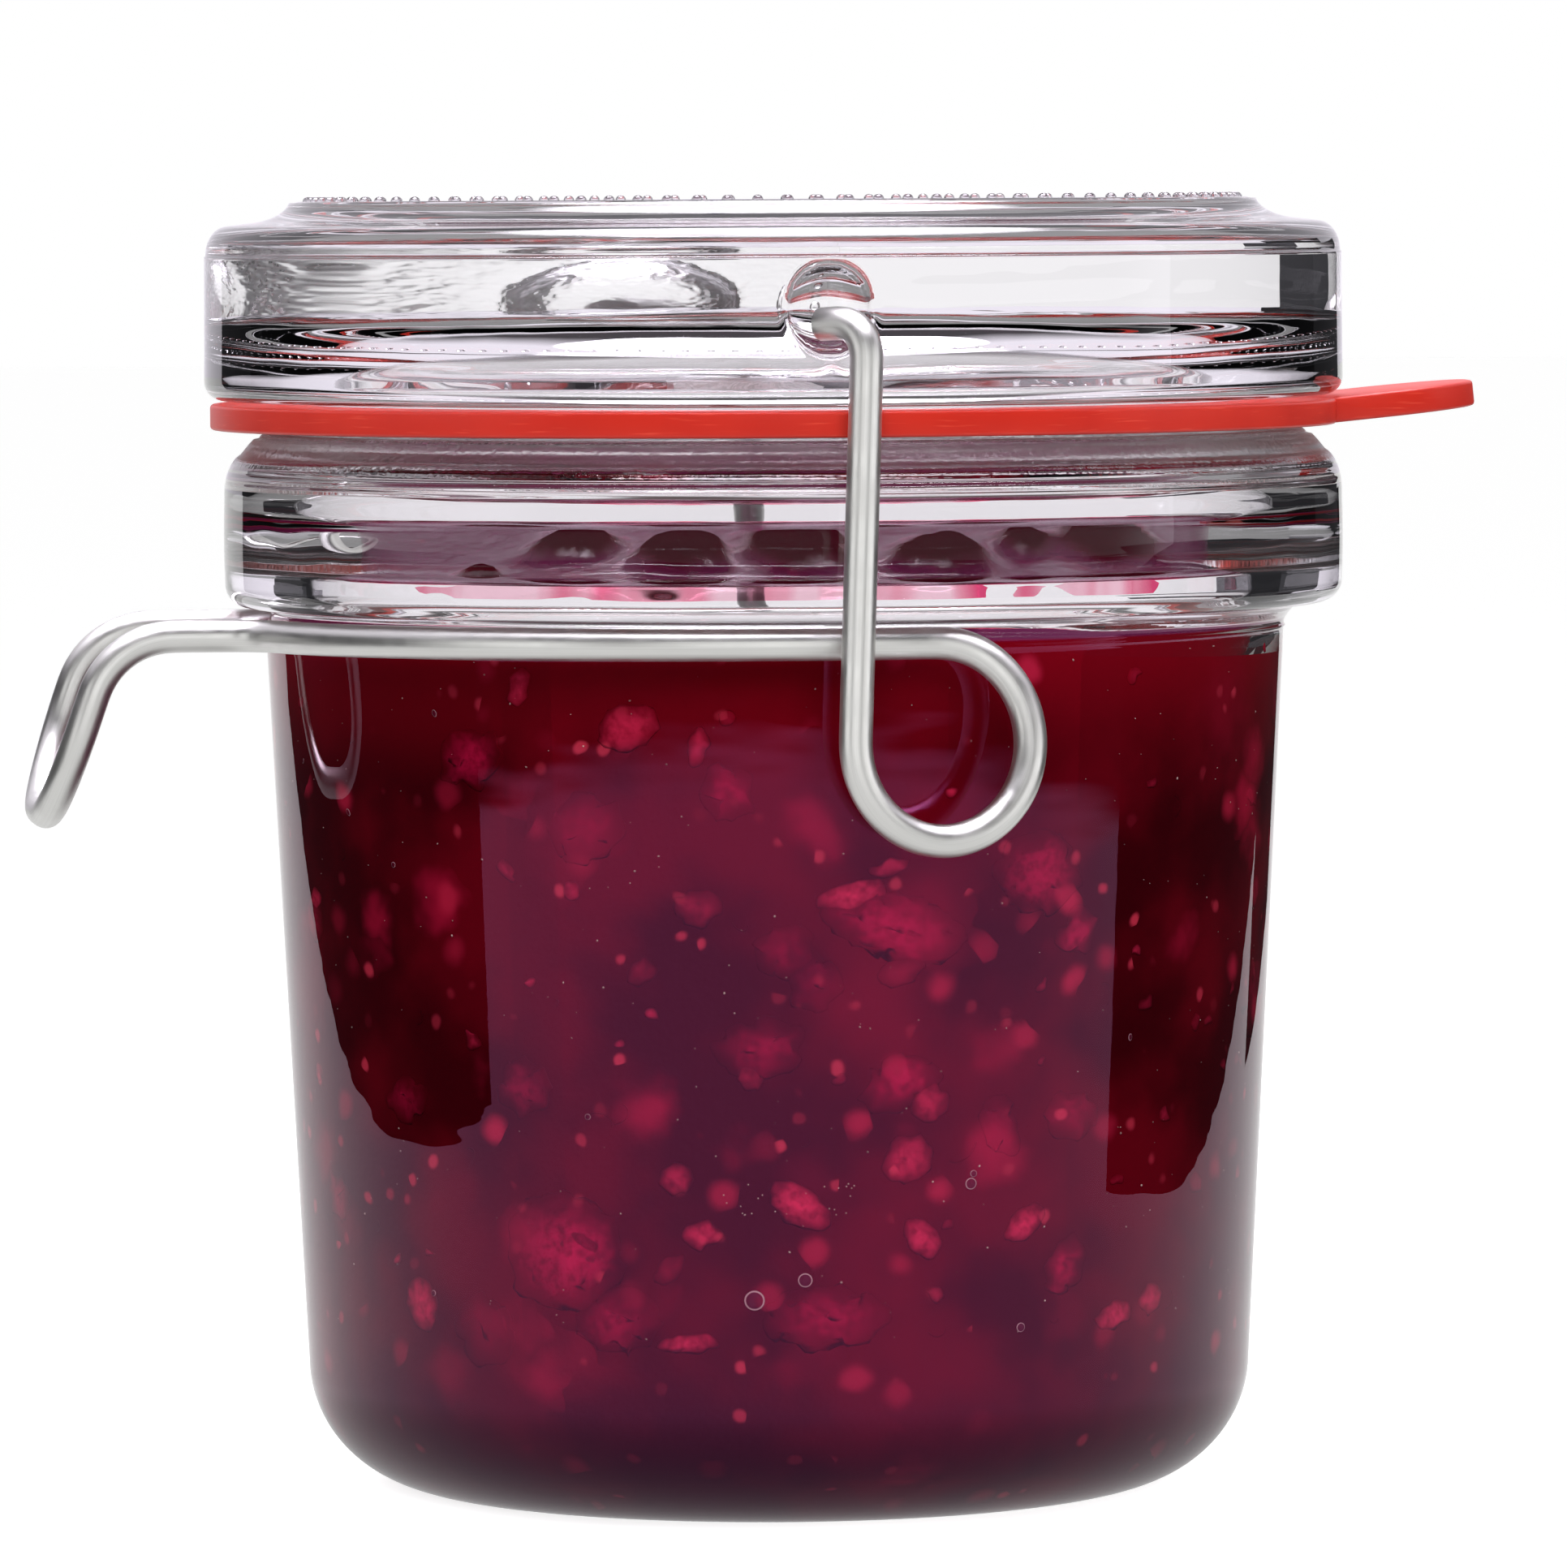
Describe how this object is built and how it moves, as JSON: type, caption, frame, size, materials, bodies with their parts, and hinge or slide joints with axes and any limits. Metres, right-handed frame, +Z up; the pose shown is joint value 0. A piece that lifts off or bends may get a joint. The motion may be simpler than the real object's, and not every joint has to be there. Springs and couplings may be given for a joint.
{
  "type": "clip top jar",
  "caption": "Round glass jar of dark red jam, closed by a thick glass lid on a rubber gasket with a pull tab and held by a sprung wire clip.",
  "frame": {"origin": "middle of the jar's base, on the surface that the jar stands on", "axes": "+Z up along the jar's axis, -X towards the wire's handle, +X towards the gasket's pull tab, the wire's ends in the lid on -Y and +Y"},
  "size_m": [0.1202, 0.0998, 0.1067],
  "materials": {
    "jar_glass": "clear pressed glass, fire polished, with slight waves",
    "lid_glass": "clear pressed glass, fire polished, with slight waves",
    "gasket_rubber": "smooth orange red rubber, slightly satin",
    "clip_steel": "drawn stainless steel wire, satin to bright",
    "jam": "dark red fruit jam, wet and slightly translucent"
  },
  "bodies": {
    "root": {"jar": "jar_glass", "lid": "lid_glass", "gasket": "gasket_rubber", "wire_clip": "clip_steel", "jam": "jam"}
  },
  "joints": []
}
